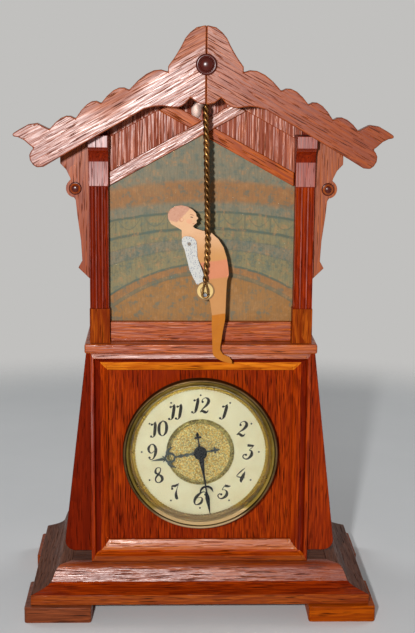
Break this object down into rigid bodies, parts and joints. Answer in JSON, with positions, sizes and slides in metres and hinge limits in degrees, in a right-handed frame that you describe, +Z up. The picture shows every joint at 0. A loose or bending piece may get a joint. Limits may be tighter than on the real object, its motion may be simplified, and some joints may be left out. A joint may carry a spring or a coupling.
{
  "type": "acrobat clock",
  "caption": "Gabled wooden shelf clock with a flat acrobat that tumbles on a bar above a round dial, with hands, wheel train and back door that move.",
  "frame": {"origin": "middle of the underside of the four feet: half way between the left and right tips of the carved edge, and half way between its front and the back of the rear feet", "axes": "+Z up, +X to the right as the dial is read, the dial faces -Y"},
  "size_m": [0.2358, 0.1502, 0.39],
  "materials": {
    "red_wood": "polished red-brown hardwood",
    "pale_wood": "polished red-brown hardwood with a pale bloom",
    "dark_wood": "stained hardwood, dull polish",
    "turned_wood": "dark stained, glossy",
    "painted_card": "printed scene, matt",
    "dial_paper": "cream paper with a gilt centre",
    "dial_glass": "clear, domed",
    "bezel_brass": "old bronze-coloured lacquer",
    "brass": "old brass",
    "steel": "dull",
    "blued_steel": "dark blue, satin",
    "rope_wire": "twisted wire, tarnished",
    "figure_card": "painted stiff card",
    "sleeve_card": "painted stiff card"
  },
  "bodies": {
    "case": {"foot_front_left": "red_wood", "foot_front_right": "red_wood", "foot_rear_left": "red_wood", "foot_rear_right": "red_wood", "base_moulding_front": "red_wood", "base_moulding_left": "red_wood", "base_moulding_right": "red_wood", "front_frame": "red_wood", "front_panel": "red_wood", "panel_moulding": "red_wood", "wing_left": "red_wood", "wing_right": "red_wood", "ledge": "red_wood", "pilaster_left": "red_wood", "pilaster_right": "red_wood", "capital_left": "red_wood", "capital_right": "red_wood", "stage_rail": "red_wood", "gable_strip_right": "red_wood", "roof_board_right": "red_wood", "bargeboard_right": "red_wood", "bracket_left": "red_wood", "bracket_right": "red_wood", "gable_strip_left": "pale_wood", "roof_board_left": "pale_wood", "bargeboard_left": "pale_wood", "base_board": "dark_wood", "case_side_left": "dark_wood", "case_side_right": "dark_wood", "gable_panel": "dark_wood", "upper_back": "dark_wood", "gable_button": "turned_wood", "backdrop": "painted_card", "dial": "dial_paper", "dial_glass": "dial_glass", "bezel": "bezel_brass", "door_pin": "brass", "movement_front_plate": "brass", "movement_back_plate": "brass", "drive_frame": "brass", "rope_hanger": "brass", "rope_front": "rope_wire", "rope_rear": "rope_wire"},
    "back_door": {"back_door": "dark_wood"},
    "centre": {"centre_arbor": "brass", "minute_hand": "blued_steel"},
    "hour": {"hour_wheel": "brass", "hour_hand": "blued_steel"},
    "minute_wheel": {"minute_wheel": "brass"},
    "great": {"great_wheel": "brass"},
    "third": {"third_wheel": "brass"},
    "escape": {"escape_wheel": "brass"},
    "balance": {"balance": "brass"},
    "key": {"winding_key": "steel"},
    "trapeze": {"trapeze_bar": "steel", "arm_front": "sleeve_card", "arm_rear": "sleeve_card"},
    "acrobat": {"acrobat_body": "figure_card"},
    "motor": {"motor_barrel": "brass"},
    "fly": {"fly": "brass"}
  },
  "joints": [
    {"name": "minute_spin", "type": "hinge", "parent": "case", "child": "centre", "pos_m": [0, -0.0149, 0.1092], "axis": [0, 1, 0], "continuous": true},
    {"name": "hour_spin", "type": "hinge", "parent": "case", "child": "hour", "pos_m": [0, -0.0329, 0.1092], "axis": [0, 1, 0], "continuous": true},
    {"name": "minute_wheel_spin", "type": "hinge", "parent": "case", "child": "minute_wheel", "pos_m": [-0.01128, -0.0319, 0.1051], "axis": [0, 1, 0], "continuous": true},
    {"name": "great_spin", "type": "hinge", "parent": "case", "child": "great", "pos_m": [0, -0.0149, 0.084], "axis": [0, 1, 0], "continuous": true},
    {"name": "third_spin", "type": "hinge", "parent": "case", "child": "third", "pos_m": [0.00983, -0.0149, 0.12092], "axis": [0, 1, 0], "continuous": true},
    {"name": "escape_spin", "type": "hinge", "parent": "case", "child": "escape", "pos_m": [0.00309, -0.0149, 0.13261], "axis": [0, 1, 0], "continuous": true},
    {"name": "balance_swing", "type": "hinge", "parent": "case", "child": "balance", "pos_m": [-0.00647, -0.0149, 0.13261], "axis": [0, 1, 0], "range_deg": [-120, 120], "stiffness_Nm_per_rad": 0.00001},
    {"name": "key_turn", "type": "hinge", "parent": "case", "child": "key", "pos_m": [0, 0.0151, 0.084], "axis": [0, 1, 0], "continuous": true},
    {"name": "door_swing", "type": "hinge", "parent": "case", "child": "back_door", "pos_m": [0.0627, 0.05835, 0.105], "axis": [0, 0, -1], "range_deg": [0, 95]},
    {"name": "bar_spin", "type": "hinge", "parent": "case", "child": "trapeze", "pos_m": [0.002, -0.0479, 0.2202], "axis": [0, 1, 0], "continuous": true},
    {"name": "body_swing", "type": "hinge", "parent": "trapeze", "child": "acrobat", "pos_m": [-0.0084, -0.0475, 0.2526], "axis": [0, -1, 0], "range_deg": [0, 320]},
    {"name": "motor_spin", "type": "hinge", "parent": "case", "child": "motor", "pos_m": [0.002, -0.0049, 0.2454], "axis": [0, 1, 0], "continuous": true},
    {"name": "fly_spin", "type": "hinge", "parent": "case", "child": "fly", "pos_m": [0.002, -0.0049, 0.2082], "axis": [0, 1, 0], "continuous": true}
  ],
  "couplings": [
    {"joint": "hour_spin", "follows": "minute_spin", "ratio": 0.083333},
    {"joint": "minute_wheel_spin", "follows": "minute_spin", "ratio": -0.33333},
    {"joint": "great_spin", "follows": "minute_spin", "ratio": -0.16667},
    {"joint": "third_spin", "follows": "minute_spin", "ratio": -7.5},
    {"joint": "escape_spin", "follows": "minute_spin", "ratio": 60},
    {"joint": "motor_spin", "follows": "bar_spin", "ratio": -0.16667},
    {"joint": "fly_spin", "follows": "bar_spin", "ratio": -5}
  ]
}
